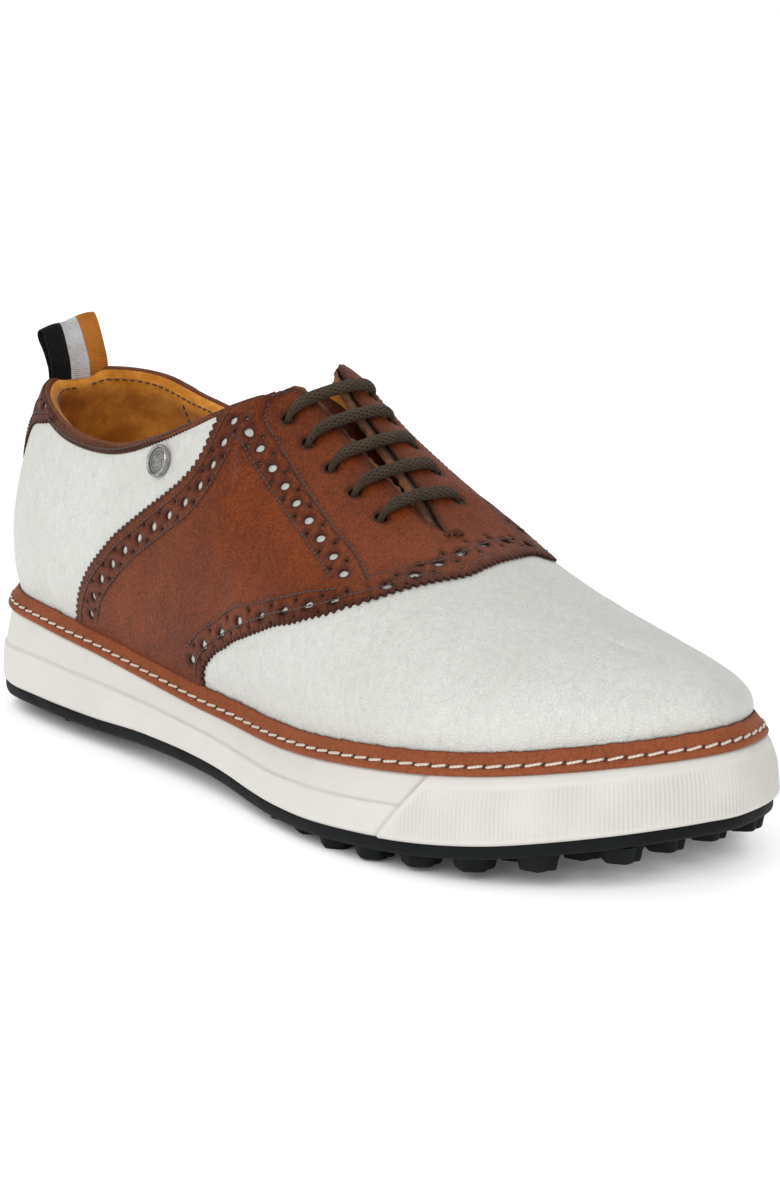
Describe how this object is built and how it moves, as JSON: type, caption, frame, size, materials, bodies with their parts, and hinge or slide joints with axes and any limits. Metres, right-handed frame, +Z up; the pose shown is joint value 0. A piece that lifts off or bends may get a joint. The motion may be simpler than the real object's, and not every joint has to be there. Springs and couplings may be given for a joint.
{
  "type": "golf shoe",
  "caption": "Right golf shoe: white leather saddle oxford with brown pinked and punched saddle, sewn welt, white cup sole and black lugged outsole.",
  "frame": {"origin": "on the ground, under the middle of the shoe's length and width", "axes": "+Z up, toe towards -Y, heel towards +Y, outer side of the foot towards -X, inner side towards +X"},
  "size_m": [0.1077, 0.3016, 0.1222],
  "materials": {
    "outsole_rubber": "matt moulded rubber, fine texture on the edge",
    "sole_white": "smooth off-white moulded rubber",
    "welt_leather": "reddish tan, dyed edge",
    "thread_white": "waxed off-white thread",
    "filler_cork": "cork granule sheet",
    "wedge_foam": "closed-cell foam",
    "shank_steel": "spring steel strip",
    "board_fibre": "fibre board",
    "footbed_foam": "textile-covered foam",
    "stiffener": "thermoplastic sheet",
    "leather_white": "tumbled full-grain, low sheen",
    "lining_textile": "woven lining",
    "lining_tan": "smooth tan lining leather",
    "lining_suede": "tan suede",
    "leather_brown": "burnished chestnut, soft sheen",
    "leather_brown_dark": "dark-dyed cut edge",
    "stay_tape": "woven tape",
    "eyelet_metal": "antique",
    "leather_tongue": "soft dark brown",
    "lace_cotton": "waxed round braid",
    "aglet_plastic": "moulded",
    "ribbon": "woven ribbon in black, grey-white and tan stripes",
    "badge_pewter": "antique pewter"
  },
  "bodies": {
    "shoe": {"outsole": "outsole_rubber", "midsole": "sole_white", "welt": "welt_leather", "welt_thread": "thread_white", "forefoot_filler": "filler_cork", "heel_wedge": "wedge_foam", "shank": "shank_steel", "insole_board": "board_fibre", "footbed": "footbed_foam", "toe_puff": "stiffener", "heel_counter": "stiffener", "vamp": "leather_white", "vamp_lining": "lining_textile", "quarter_lateral": "leather_white", "quarter_medial": "leather_white", "quarter_lining_lateral": "lining_tan", "quarter_lining_medial": "lining_tan", "heel_lining": "lining_suede", "collar_foam": "wedge_foam", "wing_lateral": "leather_brown", "wing_medial": "leather_brown", "gimp_lateral": "leather_brown_dark", "gimp_medial": "leather_brown_dark", "facing": "leather_brown", "facing_stays": "stay_tape", "eyelets": "eyelet_metal", "throat_tab": "leather_brown", "collar_lateral": "leather_brown", "collar_medial": "leather_brown", "heel_tab": "leather_brown", "lace": "lace_cotton", "aglets": "aglet_plastic", "badge": "badge_pewter"},
    "tongue": {"tongue": "leather_tongue", "tongue_lining": "lining_tan"},
    "pull_tab": {"pull_tab": "ribbon"}
  },
  "joints": [
    {"name": "tongue_tilt", "type": "hinge", "parent": "shoe", "child": "tongue", "pos_m": [0.001, -0.049, 0.067], "axis": [1, 0, 0], "range_deg": [-12, 0], "stiffness_Nm_per_rad": 0.05},
    {"name": "pull_tab_bend", "type": "hinge", "parent": "shoe", "child": "pull_tab", "pos_m": [-0.001, 0.1293, 0.1046], "axis": [1, 0, 0], "range_deg": [-30, 35], "stiffness_Nm_per_rad": 0.01}
  ]
}
